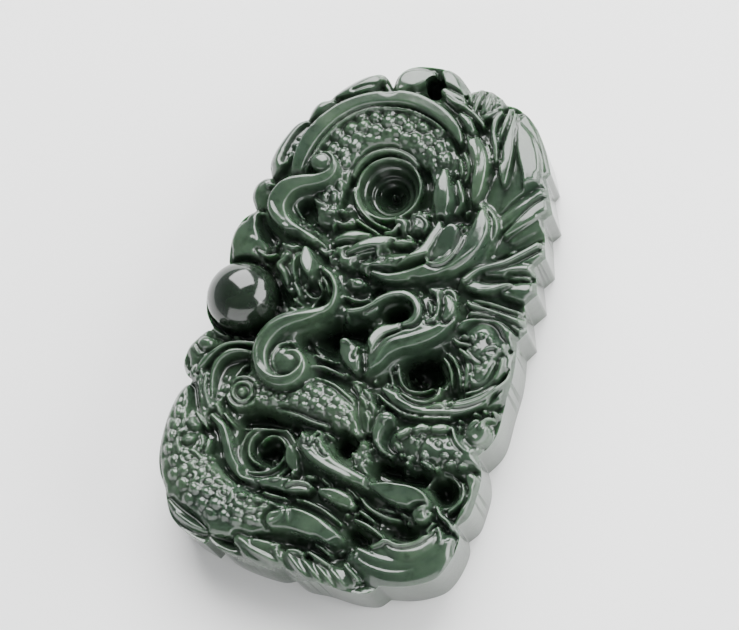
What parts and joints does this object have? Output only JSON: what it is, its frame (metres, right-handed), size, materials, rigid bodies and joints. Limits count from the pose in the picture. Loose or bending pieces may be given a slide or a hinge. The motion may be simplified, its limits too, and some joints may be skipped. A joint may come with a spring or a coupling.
{
  "type": "jade pendant",
  "caption": "Thick oval pendant of dark green jade, flat on the back and carved in high relief on the front with a coiled dragon and a ball, drilled for a cord at the top.",
  "frame": {"origin": "middle of the flat back face, which is the centre of the base of the bounding box", "axes": "+Z out of the carved front, away from the flat back; +Y along the length, towards the cord hole; +X to the right of the carving"},
  "size_m": [0.0376, 0.0584, 0.011],
  "materials": {
    "jade": "polished stone, glossy"
  },
  "bodies": {
    "root": {"jade_pendant": "jade"}
  },
  "joints": []
}
